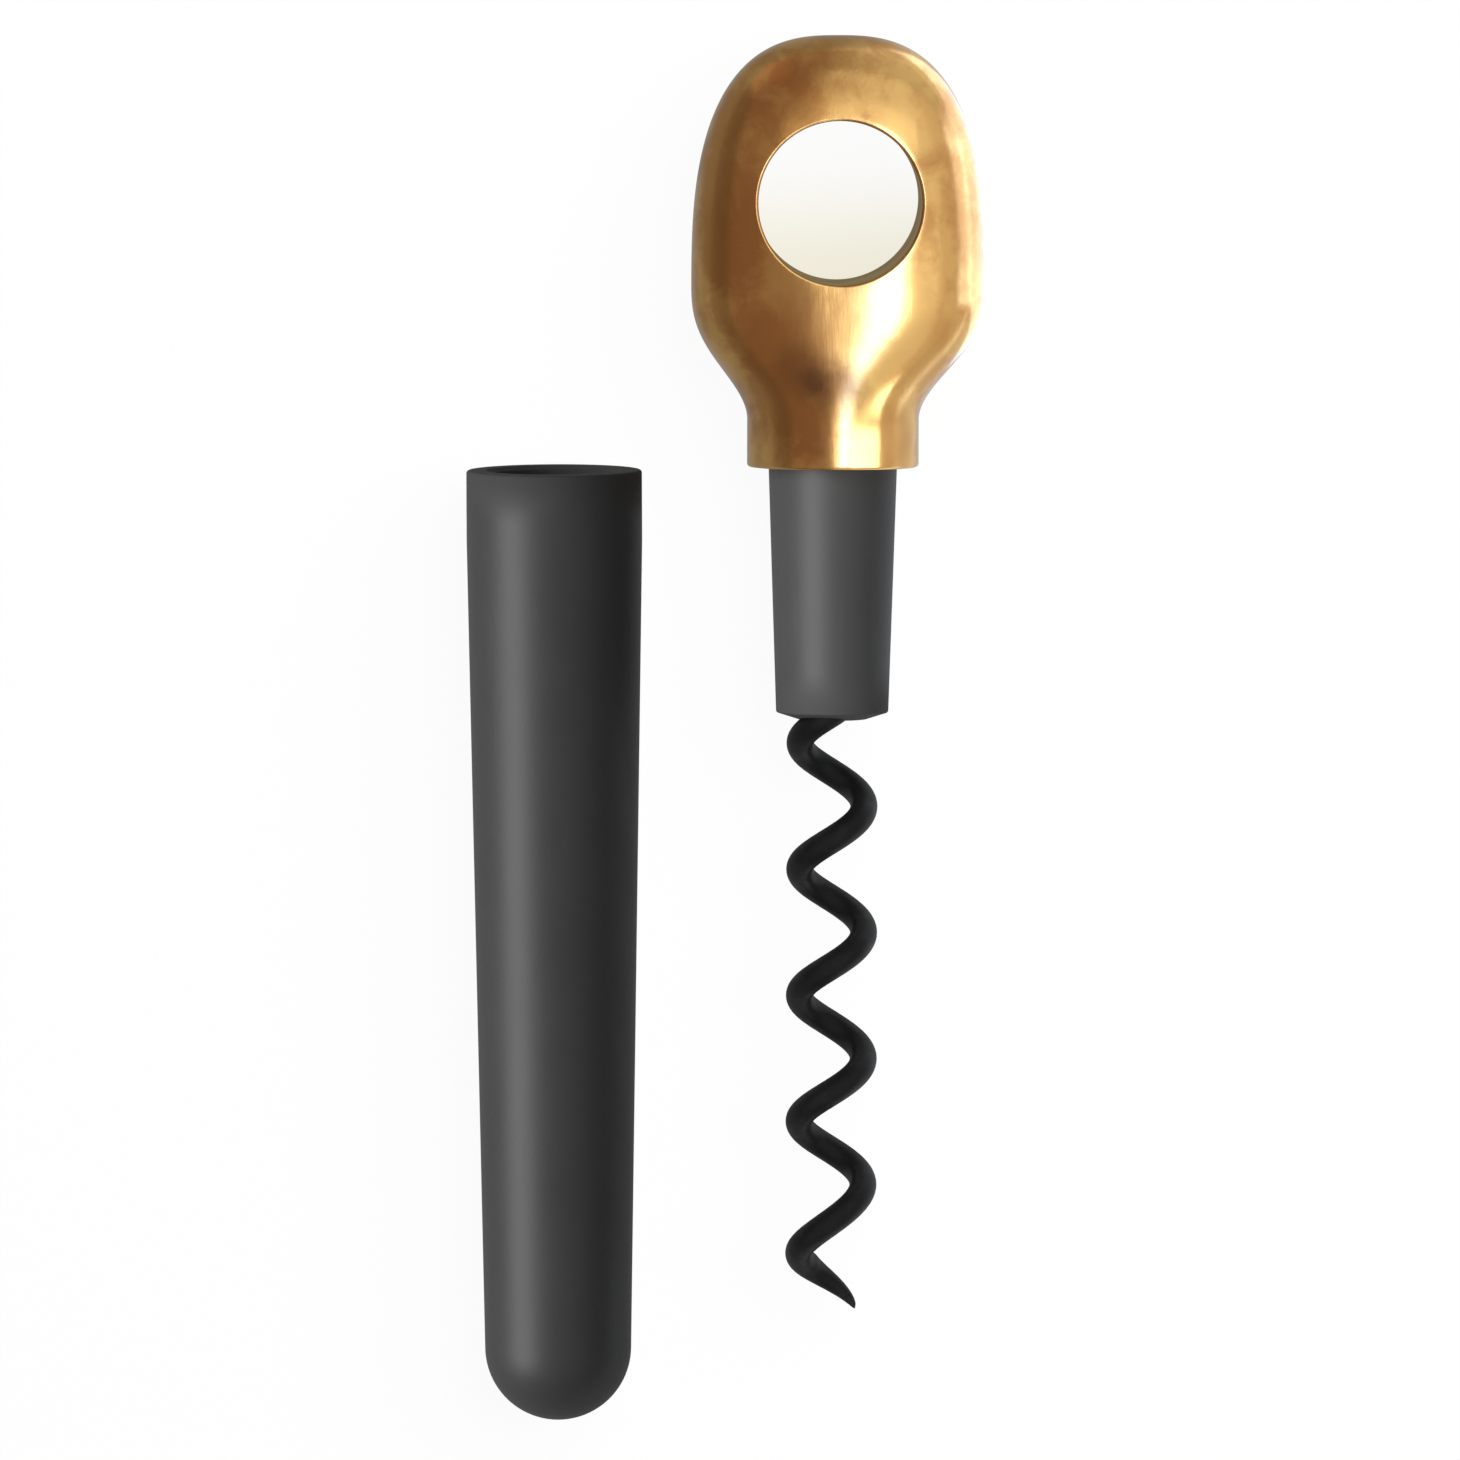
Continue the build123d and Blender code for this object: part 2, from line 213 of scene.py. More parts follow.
def headRim():
    # Once round the head's plan, as (across, height): up the right side, down the left side and along
    # the foot. Above its widest place the outline's height is bow height + crown x sin to the 2 / power.
    h = headShape
    turn = np.linspace(0, np.pi / 2, h["rimSamples"])
    crownLength = h["headLength"] - h["bowHeight"]
    crown = h["bowHeight"] + crownLength * np.sin(turn) ** (2 / h["crownFrontPower"])
    flank = np.linspace(h["neckEdge"], h["bowHeight"], h["rimSamples"], endpoint=False)
    heights = np.concatenate([flank, crown])
    middle, half = h["bowLean"] * shoulderShare(heights), headHalfWidth(heights)
    right = evenSteps(np.stack([middle + half, heights], -1), h["sideSteps"])
    left = evenSteps(np.stack([middle - half, heights], -1)[::-1], h["sideSteps"])
    turn = np.linspace(np.pi, 0, h["footSteps"] + 1)
    foot = np.stack([h["neckRadius"] * np.cos(turn), np.full(turn.shape, h["neckEdge"])], -1)
    return np.concatenate([right[:-1], left[:-1], foot[:-1]])


def eyeEdgeRows(out):
    # The eye's rounded edge, for each direction out of the eye: a ball that touches the face from below,
    # and its arc from the face's normal to the eye's wall:
    # (sin((1 - share) x bend) x normal + sin(share x bend) x inward) / sin(bend)
    h = headShape
    ball = np.array([h["bowLean"], h["eyeHeight"]]) + out * (h["eyeRadius"] + h["eyeEdge"])
    x, y, step = ball[:, 0], ball[:, 1], h["slopeStep"]
    slopeX = (headRise(x + step, y) - headRise(x - step, y)) / (2 * step)
    slopeY = (headRise(x, y + step) - headRise(x, y - step)) / (2 * step)
    steep = np.sqrt(1 + slopeX ** 2 + slopeY ** 2)
    ballRise = headRise(x, y) - h["eyeEdge"] * steep
    normal = np.stack([-slopeX, -slopeY, np.ones(len(out))], -1) / steep[:, None]
    inward = np.stack([-out[:, 0], -out[:, 1], np.zeros(len(out))], -1)
    bend = np.arccos(np.sum(normal * inward, -1))[:, None, None]
    share = np.linspace(0, 1, h["edgeSteps"])[None, :, None]
    turn = np.sin((1 - share) * bend) * normal[:, None] + np.sin(share * bend) * inward[:, None]
    middle = np.stack([x, y, ballRise], -1)[:, None]
    return middle + h["eyeEdge"] * turn / np.sin(bend)


def headFaces():
    # Rows from the front's outline through the eye to the back's outline, with a place for each of the
    # rim's. On a face the plan goes straight from the eye's edge to the rim, and the height is headRise.
    h = headShape
    rim = headRim()
    edge = eyeEdgeRows(unit(rim - np.array([h["bowLean"], h["eyeHeight"]])))
    share = (1 - (1 - np.linspace(0, 1, h["faceSteps"])) ** h["faceCrowding"])[None, :, None]
    plan = edge[:, :1, :2] * (1 - share) + rim[:, None] * share
    face = np.concatenate([plan, headRise(plan[..., 0], plan[..., 1])[..., None]], -1)
    onSide = rim[:, 1] > h["neckEdge"] + h["footSlack"]
    face[onSide, -1, 2] = 0  # there front and back meet in the middle plane
    wallLevels = np.linspace(1, -1, h["wallSteps"])[None, 1:-1, None]
    wallFoot = edge[:, -1:] * np.array([1, 1, 0])
    wall = wallFoot + edge[:, -1:, 2:] * wallLevels * np.array([0, 0, 1])
    front = np.concatenate([face[:, :0:-1], edge], 1)  # from the outline in to the eye's wall
    back = front[:, ::-1] * np.array([1, 1, -1])
    return np.concatenate([front, wall, back], 1).transpose(1, 0, 2)


def makeHead():
    # The faces, and the turned end of the neck: its rounded rim, the spigot's socket and the stud's hole
    h = headShape
    rim, socket, hole = h["neckRadius"] - h["neckEdge"], h["socketRadius"], h["studHoleRadius"]
    floorLevel, drillLevel = h["socketDepth"], h["studHoleDepth"]
    neckEnd = np.concatenate([
        arcRows((rim, h["neckEdge"]), h["neckEdge"], 0, -np.pi / 2, h["neckEdgeSteps"]),
        lineRows((rim, 0), (socket, 0), h["neckFaceSteps"])[1:],
        lineRows((socket, 0), (socket, floorLevel), h["socketSteps"])[1:],
        lineRows((socket, floorLevel), (hole, floorLevel), h["socketFloorSteps"])[1:],
        lineRows((hole, floorLevel), (hole, drillLevel), h["holeSteps"])[1:],
        lineRows((hole, drillLevel), (0, drillLevel + h["drillPoint"]), h["drillSteps"])[1:],
    ])
    around = 2 * h["footSteps"]  # the foot's places, front and back
    rings = turned(neckEnd, seat, alongScrew, acrossScrew, around)
    return makePiece("head_casting", [seat + headFaces(), rings])


# Plug: tapered collar under the head, with a small boss where the worm leaves it

plugShape = {
    "topRadius": 6.4,
    "endRadius": 5.6,
    "length": 24.5,
    "endEdge": 0.25,
    "bossRadius": 3.4,
    "bossHeight": 0.7,
    "bossEdge": 0.8,
    "spigotRadius": 6.0,
    "spigotHeight": 2.0,
    "spigotChamfer": 0.3,
    "steps": 160,         # places round it
    "shoulderSteps": 3,   # steps of its profile: under the head,
    "sideSteps": 30,      # down the side,
    "endEdgeSteps": 8,    # round the end's edge,
    "endSteps": 8,        # across the end,
    "bossEdgeSteps": 10,  # round the boss's edge
    "bossSteps": 4,       # and across the boss
}


def makePlug():
    # A turned profile: spigot, tapered side, rounded end, boss
    p = plugShape
    top, rim = (p["topRadius"], 0), (p["endRadius"], -p["length"])
    boss = (p["bossRadius"], -p["length"] - p["bossHeight"])
    edge = roundedCorner(top, rim, boss, p["endEdge"], p["endEdgeSteps"])
    bossEdge = roundedCorner(rim, boss, (0, boss[1]), p["bossEdge"], p["bossEdgeSteps"])
    profile = np.concatenate([
        [(0, p["spigotHeight"]), (p["spigotRadius"] - p["spigotChamfer"], p["spigotHeight"])],
        [(p["spigotRadius"], p["spigotHeight"] - p["spigotChamfer"])],
        lineRows((p["spigotRadius"], 0), top, p["shoulderSteps"]),
        lineRows(top, edge[0], p["sideSteps"])[1:],
        edge[1:],
        lineRows(edge[-1], bossEdge[0], p["endSteps"])[1:],
        bossEdge[1:],
        lineRows(bossEdge[-1], (0, boss[1]), p["bossSteps"])[1:],
    ])
    return makePiece("plug_collar", [turned(profile, seat, alongScrew, acrossScrew, p["steps"])])


# Worm: wire with a straight shank, a bent root, right-handed turns and a ground point

wormShape = {
    "wireRadius": 1.35,
    "wormRadius": 3.2,
    "pitch": 12.62,
    "turns": 4.25,
    "startHeight": -24.4,
    "shankTop": -2.4,
    "shankFoot": -15.6,
    "flatFoot": -12.8,
    "flatDepth": 0.35,
    "lastTurnSag": 0.6,    # how much lower the last turn hangs at its middle
    "lastTurnStart": 0.5,  # where it starts to, in turns before the point
    "pointTurn": 0.415,
    "pointFullShare": 0.3,
    "pointPower": 0.6,
    "pointRadius": 0.12,
    "turnSteps": 72,       # rings in each turn
    "ringSteps": 36,       # places round the wire
    "shankSteps": 20,      # rings along the shank
    "rootSteps": 24,       # along each of the root's two arcs
    "pointSteps": 48,      # along the point
    "noseSteps": 5,        # and on the small ball at its tip
}


def wormOutward(turns):
    # Direction from the axis to the wire's middle: (sin, 0, cos) of -2 pi x turns
    angle = -2 * np.pi * np.asarray(turns, float)
    return np.stack([np.sin(angle), 0 * angle, np.cos(angle)], -1)


def lastTurnShare(turns):
    # 0 where the last turn starts to sag and 1 at the tip
    w = wormShape
    return np.clip((turns - w["turns"] + w["lastTurnStart"]) / (w["lastTurnStart"] + w["pointTurn"]), 0, 1)


def wormMiddle(turns):
    # Helix: down the axis by pitch x turns + sag x squared sine of pi x share, and out by the radius
    w = wormShape
    turns = np.asarray(turns, float)
    sag = w["lastTurnSag"] * np.sin(np.pi * lastTurnShare(turns)) ** 2
    down = (w["startHeight"] - w["pitch"] * turns - sag)[..., None] * alongScrew
    return down + w["wormRadius"] * wormOutward(turns)


def wormHeading(turns):
    # Direction of the helix: down by (pitch + slope of the sag) / 2 pi,
    # and the worm's radius along the outward direction of a quarter turn further on
    w = wormShape
    turns = np.asarray(turns, float)
    steepest = np.pi * w["lastTurnSag"] / (w["lastTurnStart"] + w["pointTurn"])
    lead = (w["pitch"] + steepest * np.sin(2 * np.pi * lastTurnShare(turns))) / (2 * np.pi)
    return unit(-lead[..., None] * alongScrew + w["wormRadius"] * wormOutward(turns + 0.25))


def rootArc(start, heading, end, count):
    # Circle arc that leaves start along heading and meets end:
    # start + side x radius x (1 - cos) + heading x radius x sin
    chord = end - start
    side = unit(chord - heading * (chord @ heading))
    radius = (chord @ chord) / (2 * (chord @ side))
    full = 2 * math.atan2(chord @ side, chord @ heading)
    angle = np.linspace(0, full, count)[:, None]
    middle = start + side * radius * (1 - np.cos(angle)) + heading * radius * np.sin(angle)
    return middle, heading * np.cos(angle) + side * np.sin(angle)


def wormRoot():
    # Two arcs, tangent to each other, from the shank's foot to the start of the turns. They meet halfway
    # between the foot moved on by reach and the start moved back by reach, each along its own heading.
    w = wormShape
    foot, down = w["shankFoot"] * alongScrew, -alongScrew
    start, heading = wormMiddle(0), wormHeading(0)
    chord, both = start - foot, down + heading
    spread = 2 * (1 - down @ heading)
    reach = (math.sqrt((chord @ both) ** 2 + spread * (chord @ chord)) - chord @ both) / spread
    joint = (foot + down * reach + start - heading * reach) / 2
    first, firstHeading = rootArc(foot, down, joint, w["rootSteps"])
    second, secondHeading = rootArc(joint, firstHeading[-1], start, w["rootSteps"])
    middle = np.concatenate([first[1:], second[1:]])
    return middle, np.concatenate([firstHeading[1:], secondHeading[1:]])


def makeWorm():
    # Rings round the wire's middle: middle + wire radius x (side x cos + third x sin)
    w = wormShape
    shank = np.linspace(w["shankTop"], w["shankFoot"], w["shankSteps"])[:, None] * alongScrew
    root, rootHeading = wormRoot()
    turns = np.linspace(0, w["turns"], int(w["turns"] * w["turnSteps"]))[1:]

    # The point, whose upper side is ground away: the wire narrows by (1 - ground) to a power,
    # and its middle moves as far to the lower side as its radius shrinks
    share = np.linspace(0, 1, w["pointSteps"])[1:]
    ground = np.clip((share - w["pointFullShare"]) / (1 - w["pointFullShare"]), 0, 1)
    pointWire = w["pointRadius"] + (w["wireRadius"] - w["pointRadius"]) * (1 - ground) ** w["pointPower"]
    pointTurns = w["turns"] + w["pointTurn"] * share
    pointHeading, pointOutward = wormHeading(pointTurns), wormOutward(pointTurns)
    below = unit(np.cross(pointOutward, pointHeading))
    point = wormMiddle(pointTurns) + below * (w["wireRadius"] - pointWire)[:, None]
    angle = np.linspace(0, np.pi / 2, w["noseSteps"] + 1)[1:]  # the very tip is a small ball
    nose = point[-1] + pointHeading[-1] * w["pointRadius"] * np.sin(angle)[:, None]

    # A first ring of no size closes the shank's top
    straight = 1 + w["shankSteps"]
    early = straight + len(root)
    middle = np.concatenate([shank[:1], shank, root, wormMiddle(turns), point, nose])
    along = np.concatenate([
        np.tile(-alongScrew, (straight, 1)), rootHeading, wormHeading(turns), pointHeading,
        np.tile(pointHeading[-1], (w["noseSteps"], 1)),
    ])
    side = np.concatenate([
        np.tile(wormOutward(0), (early, 1)), wormOutward(turns), pointOutward,
        np.tile(pointOutward[-1], (w["noseSteps"], 1)),
    ])
    side = unit(side - along * np.sum(side * along, -1, keepdims=True))
    third = np.cross(along, side)
    full = np.full(early - 1 + len(turns), w["wireRadius"])
    wire = np.concatenate([[0], full, pointWire, w["pointRadius"] * np.cos(angle)])[:, None, None]
    angle = np.linspace(0, 2 * np.pi, w["ringSteps"], endpoint=False)[None, :, None]
    rings = middle[:, None] + wire * (side[:, None] * np.cos(angle) + third[:, None] * np.sin(angle))

    # The shank's flat, cut on its right side down to the flat's foot
    onFlat = rings[..., 1] > w["flatFoot"]
    flattened = np.minimum(rings[..., 0], w["wireRadius"] - w["flatDepth"])
    rings[..., 0] = np.where(onFlat, flattened, rings[..., 0])
    return makePiece("worm_wire", [seat + rings])


# Sheath: hollow moulding with a land at its mouth, a long taper and a round end

sheathShape = {
    "mouthRadius": 8.75,
    "landLength": 7.0,
    "endRadius": 7.3,
    "endWall": 2.3,
    "wormEndGap": 9.5,      # from the worm's reach to the inner end
    "socketMouthRadius": 6.46,
    "socketFloorRadius": 5.66,
    "socketDepth": 25.1,
    "boreRadius": 5.5,
    "mouthEdge": 0.3,
    "mouthLead": 0.4,
    "axisGap": 27.47,       # between the two axes at the sheath's middle
    "mouthBelowSeat": 0.35,
    "skew": 0.38,           # degrees
    "steps": 200,           # places round it
    "taperSteps": 60,       # steps of its profile: down the taper,
    "ballSteps": 24,        # round the end, outside and inside,
    "landSteps": 8,         # along the land,
    "mouthEdgeSteps": 6,    # round the mouth's edge,
    "mouthFaceSteps": 4,    # across the mouth's face,
    "leadSteps": 2,         # down the lead,
    "socketSteps": 12,      # the socket
    "boreSteps": 20,        # and the bore
}


def sheathLength():
    # The plug, the worm's turns and point, the gap after them and the end's wall
    w, s = wormShape, sheathShape
    turns = w["pitch"] * (w["turns"] + w["pointTurn"])
    return plugShape["length"] + turns + s["wormEndGap"] + s["endWall"]


def taperSlope(startRadius, startDepth, ballRadius):
    # Slope of a wall that starts at a radius and depth and is tangent to the end's ball:
    # acos(ball / hypot(radius, run)) - atan2(run, radius)
    run = sheathLength() - sheathShape["endRadius"] - startDepth
    return math.acos(ballRadius / math.hypot(startRadius, run)) - math.atan2(run, startRadius)


def taperedEnd(startRadius, startDepth, ballRadius, count):
    # That wall, from its start to the ball, and the ball's arc to the axis
    ballDepth = sheathLength() - sheathShape["endRadius"]
    slope = taperSlope(startRadius, startDepth, ballRadius)
    touch = (ballRadius * math.cos(slope), -ballDepth - ballRadius * math.sin(slope))
    wall = lineRows((startRadius, -startDepth), touch, count)
    ball = arcRows((0, -ballDepth), ballRadius, -slope, -math.pi / 2, sheathShape["ballSteps"])
    return np.concatenate([wall, ball[1:]])


def makeSheath():
    # A turned profile: round end, taper, land, mouth, socket, bore
    s = sheathShape
    mouth, land = s["mouthRadius"], -s["landLength"]
    edge, lead = s["mouthEdge"], s["mouthLead"]
    socketTaper = (s["socketMouthRadius"] - s["socketFloorRadius"]) / s["socketDepth"]
    leadMouth = (s["socketMouthRadius"] + lead, 0)
    leadFoot = (s["socketMouthRadius"] - lead * socketTaper, -lead)
    profile = np.concatenate([
        taperedEnd(mouth, s["landLength"], s["endRadius"], s["taperSteps"])[::-1],
        lineRows((mouth, land), (mouth, -edge), s["landSteps"])[1:],
        arcRows((mouth - edge, -edge), edge, 0, math.pi / 2, s["mouthEdgeSteps"])[1:],
        lineRows((mouth - edge, 0), leadMouth, s["mouthFaceSteps"])[1:],
        lineRows(leadMouth, leadFoot, s["leadSteps"])[1:],
        lineRows(leadFoot, (s["socketFloorRadius"], -s["socketDepth"]), s["socketSteps"])[1:],
        taperedEnd(s["boreRadius"], s["socketDepth"], s["endRadius"] - s["endWall"], s["boreSteps"]),
    ])
    return makePiece("sheath_shell", [turned(profile, sheathMouth, sheathAxis, sheathAcross, s["steps"])])


# Places on the table

# The origin is the middle of the footprint, and seat is the middle of the neck's end face. The sheath
# lies on its taper, so its axis dips towards the round end by the slope of that taper.
skew = math.radians(sheathShape["skew"])
dip = taperSlope(sheathShape["mouthRadius"], sheathShape["landLength"], sheathShape["endRadius"])
mouthGap = sheathShape["axisGap"] + sheathLength() / 2 * math.sin(skew)
rightReach = headShape["bowLean"] + headShape["bowWidth"] / 2
seat = np.array([
    (mouthGap + sheathShape["mouthRadius"] - rightReach) / 2,
    (sheathShape["mouthBelowSeat"] + sheathLength() - headShape["headLength"]) / 2,
    headShape["neckRadius"],
])
sheathMouth = np.array([
    seat[0] - mouthGap,
    seat[1] - sheathShape["mouthBelowSeat"],
    sheathShape["mouthRadius"] * math.cos(dip) + sheathShape["landLength"] * math.sin(dip),
])
sheathAxis = np.array([-math.cos(dip) * math.sin(skew), math.cos(dip) * math.cos(skew), math.sin(dip)])
sheathAcross = np.array([math.cos(skew), math.sin(skew), 0])

head = makeHead()
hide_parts("head")
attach(head, "corkscrew")

plug = makePlug()
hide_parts("plug")
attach(plug, "corkscrew")

worm = makeWorm()
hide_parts("worm")
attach(worm, "corkscrew")

sheath = makeSheath()
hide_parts("sheath")
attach(sheath, "sheath")

# The pieces sealed inside the plug and the head keep their CAD shapes
steelNames = ["lock_washer", "spindle", "clamp_screw_upper", "clamp_screw_lower"]
print("pieces done")


# Tools for materials

class Flow:
    # A socket's value in a node tree. Arithmetic on it adds Math nodes.
    def __init__(self, tree, socket):
        self.tree = tree
        self.socket = socket

    def math(self, operation, first, second):
        node = self.tree.nodes.new("ShaderNodeMath")
        node.operation = operation
        for place, value in enumerate([first, second]):
            if isinstance(value, Flow):
                self.tree.links.new(value.socket, node.inputs[place])
            else:
                node.inputs[place].default_value = value
        return Flow(self.tree, node.outputs[0])

    def __add__(self, other):
        return self.math("ADD", self, other)

    def __radd__(self, other):
        return self.math("ADD", other, self)

    def __sub__(self, other):
        return self.math("SUBTRACT", self, other)

    def __rsub__(self, other):
        return self.math("SUBTRACT", other, self)

    def __mul__(self, other):
        return self.math("MULTIPLY", self, other)

    def __rmul__(self, other):
        return self.math("MULTIPLY", other, self)

    def clipped(self):
        return self.math("MINIMUM", self.math("MAXIMUM", self, 0.0), 1.0)


class Tree:
    # The node tree of a material or of the world
    def __init__(self, owner):
        owner.use_nodes = True
        self.tree = owner.node_tree
        self.tree.nodes.clear()

    def add(self, kind, settings=None, sockets=None, out=0):
        # A node of a type, its settings first, then its sockets' values or links
        node = self.tree.nodes.new("ShaderNode" + kind)
        for name, value in (settings or {}).items():
            setattr(node, name, value)
        for name, value in (sockets or {}).items():
            if isinstance(value, Flow):
                self.tree.links.new(value.socket, node.inputs[name])
            else:
                node.inputs[name].default_value = value
        return Flow(self.tree, node.outputs[out]) if node.outputs else None

    def smooth(self, value, low, high):
        # A value that eases from 0 to 1 between low and high
        return self.add("MapRange", {"interpolation_type": "SMOOTHSTEP"},
                        {0: value, 1: low, 2: high, 3: 0.0, 4: 1.0})

    def blend(self, share, first, second):
        # Two colours mixed by a share
        return self.add("Mix", {"data_type": "RGBA"}, {0: share, 6: first, 7: second}, out=2)

    def place(self, scale=(1, 1, 1)):
        # Object coordinates, in metres, stretched by a Mapping node
        coordinates = self.add("TexCoord", out="Object")
        return self.add("Mapping", None, {"Vector": coordinates, "Scale": scale})

    def part(self, vector, axis):
        # One of a vector's three numbers: 0, 1 or 2 for X, Y or Z
        return self.add("SeparateXYZ", None, {0: vector}, out=axis)

    def away(self, place, point):
        # Distance of a place from a point
        return self.add("VectorMath", {"operation": "DISTANCE"}, {0: place, 1: point}, out=1)

    def noise(self, place, scale, detail, rough, twist=0.0):
        # Soft noise about 0.5, finer with a larger scale
        return self.add("TexNoise", None, {
            "Vector": place, "Scale": scale, "Detail": detail, "Roughness": rough, "Distortion": twist,
        })

    def bump(self, height, distance, strength, under=None):
        # A normal that shows a height, over another bump if there is one
        sockets = {"Height": height, "Distance": distance, "Strength": strength}
        if under:
            sockets["Normal"] = under
        return self.add("Bump", None, sockets)

    def finish(self, shader, kind="OutputMaterial"):
        # The tree's output
        self.add(kind, None, {"Surface": shader})


def newMaterial(name):
    # A material with its empty tree
    material = bpy.data.materials.new(name)
    return material, Tree(material)


def colour(value):
    # Red, green and blue, with full alpha
    return (*value, 1.0)


# Burnished cast brass

brassFinish = {
    "clean": (0.89, 0.54, 0.175),
    # the patina colour below also serves as painted shade at the patina spots
    "patinaAndShade": (0.60, 0.285, 0.080),
    # the stain colour below also darkens the painted shade spots below the eye
    "stainAndShade": (0.30, 0.145, 0.050),
    "roughLow": 0.14,
    "roughHigh": 0.29,
    "coat": 0.35,
    "coatRough": 0.14,
    "broadScale": (110, 62, 110),       # slow changes, longer along the screw
    "patchScale": 260.0,
    "streakScale": (2600, 260, 2600),   # rubbing marks along the screw
    "grainScale": 5200.0,
    "broadShare": 0.6,                  # of the two noises that make the patina
    "patchShare": 0.4,
    "patinaFrom": 0.44,                 # where their sum turns to patina
    "patinaTo": 0.60,
    "patinaShare": 0.85,
    "stainFrom": 0.62,                  # and where the patches turn to stain
    "stainTo": 0.80,
    "stainShare": 0.12,
    "patinaRough": 0.5,                 # shares of the roughness
    "streakRough": 0.5,
    "lowBump": 0.00040,                 # metres
    "lowBumpStrength": 0.25,
    "fineBump": 0.000015,
    "fineBumpStrength": 0.5,
    "streakBump": 0.6,                  # shares of the fine bump
    "grainBump": 0.4,
    # Places where the patina is laid on thicker, partly as patina and partly as painted shade where the
    # brass's reflections are darker, as X and Y on the table, radius and strength, in metres
    "patinaAndShadeSpots": [
        (0.0055, 0.0335, 0.0065, 0.6), (0.0072, 0.0394, 0.0045, 0.9), (0.0065, 0.0655, 0.0050, 0.4),
        (0.0010, 0.0480, 0.0060, 0.35), (0.0170, 0.0292, 0.0040, 1.0), (0.0203, 0.0382, 0.0036, 0.7),
    ],
    "paintedHighlightSpots": [(0.0160, 0.0412, 0.0075, 1.0), (0.0140, 0.0290, 0.0035, 0.8)],   # painted highlight: the patina is cleared where the key's highlight falls
    "paintedShadeSpots": [(0.0107, 0.0347, 0.0031, 0.95), (0.0072, 0.0362, 0.0028, 0.5)],   # painted shade below the eye, where the shoulder meets the neck
    "spotHeight": 0.0160,               # the spots' middles lie near the upper face
    "spotRagged": 0.003,                # the patches pull a spot's rim in or out by up to half of this
    "spotReach": 1.4,                   # a spot ends at this many radii
    "spotFull": 0.25,                   # and is full within this many
}


def makeBrass():
    # Clean metal, a light brown patina in broad soft patches, a few darker stains and fine rubbing marks.
    # Patina spots add patina and painted shade where the reflections are darker, stain spots add painted
    # shade below the eye, and highlight spots clear the patina as a painted highlight where the key's
    # highlight falls.
    b = brassFinish
    material, t = newMaterial("burnished_brass")
    place = t.place()
    broad = t.noise(t.place(b["broadScale"]), 1.0, detail=3.0, rough=0.55, twist=0.4)
    patches = t.noise(place, b["patchScale"], detail=4.0, rough=0.6, twist=0.4)
    streaks = t.noise(t.place(b["streakScale"]), 1.0, detail=3.0, rough=0.6)
    grain = t.noise(place, b["grainScale"], detail=2.0, rough=0.6)

    def near(spots):
        # How much of these spots there is: strength times an ease from 1 near a spot's middle to 0 at its rim
        total = 0.0
        for x, y, radius, strength in spots:
            away = t.away(place, (x, y, b["spotHeight"])) + b["spotRagged"] * (patches - 0.5)
            total = t.smooth(away, radius * b["spotReach"], radius * b["spotFull"]) * strength + total
        return total

    mixed = broad * b["broadShare"] + patches * b["patchShare"]
    patinaAndShade = t.smooth(mixed, b["patinaFrom"], b["patinaTo"]) * b["patinaShare"]
    # Patina spots: partly patina, partly painted shade where the brass's reflections are darker
    patinaAndShade = (patinaAndShade + near(b["patinaAndShadeSpots"])).clipped()
    # Painted highlight: the patina is cleared at the highlight spots
    patinaAndShade = patinaAndShade * (1 - near(b["paintedHighlightSpots"]).clipped())
    stainAndShade = t.smooth(patches, b["stainFrom"], b["stainTo"]) * b["stainShare"]
    # Painted shade at the spots below the eye, added to the random stains
    stainAndShade = (stainAndShade + near(b["paintedShadeSpots"])).clipped()
    base = t.blend(patinaAndShade, colour(b["clean"]), colour(b["patinaAndShade"]))
    base = t.blend(stainAndShade, base, colour(b["stainAndShade"]))
    dull = patinaAndShade * b["patinaRough"] + streaks * b["streakRough"]
    rough = b["roughLow"] + (b["roughHigh"] - b["roughLow"]) * dull
    low = t.bump(broad, b["lowBump"], b["lowBumpStrength"])
    rubbing = streaks * b["streakBump"] + grain * b["grainBump"]
    fine = t.bump(rubbing, b["fineBump"], b["fineBumpStrength"], low)
    shader = t.add("BsdfPrincipled", None, {
        "Base Color": base, "Metallic": 1.0, "Roughness": rough, "Normal": fine,
        "Coat Weight": b["coat"], "Coat Roughness": b["coatRough"],
    })
    t.finish(shader)
    return material


# Satin moulded plastic, a little paler on the plug than on the sheath

plasticGrain = {
    "mottleScale": 120.0,
    "grainScale": 4200.0,
    "marksScale": (1500, 60, 1500),  # handling marks along the piece
    "marksFrom": 0.58,
    "marksTo": 0.72,
    "mottlePale": 0.5,               # how far the mottling and the marks turn the colour pale
    "marksPale": 0.25,
    "roughDrop": 0.05,               # taken from the roughness, which the next four add to
    "mottleRough": 0.07,
    "grainRough": 0.04,
    "marksRough": 0.04,
    "dullBy": 0.35,                  # at the dull end
    "bump": 0.00004,                 # metres
    "bumpStrength": 0.35,
    "specular": 0.4,
}
plugFinish = {
    "body": (0.052, 0.052, 0.0524),
    "pale": (0.068, 0.068, 0.068),
    "rough": 0.48,
    "dullFrom": 0.0065,  # Y on the table, in metres, between which the piece grows duller
    "dullTo": 0.0015,
}
sheathFinish = {
    "body": (0.030, 0.030, 0.0303),
    "pale": (0.044, 0.044, 0.044),
    "rough": 0.46,
    "dullFrom": 0.0205,
    "dullTo": 0.0255,
}


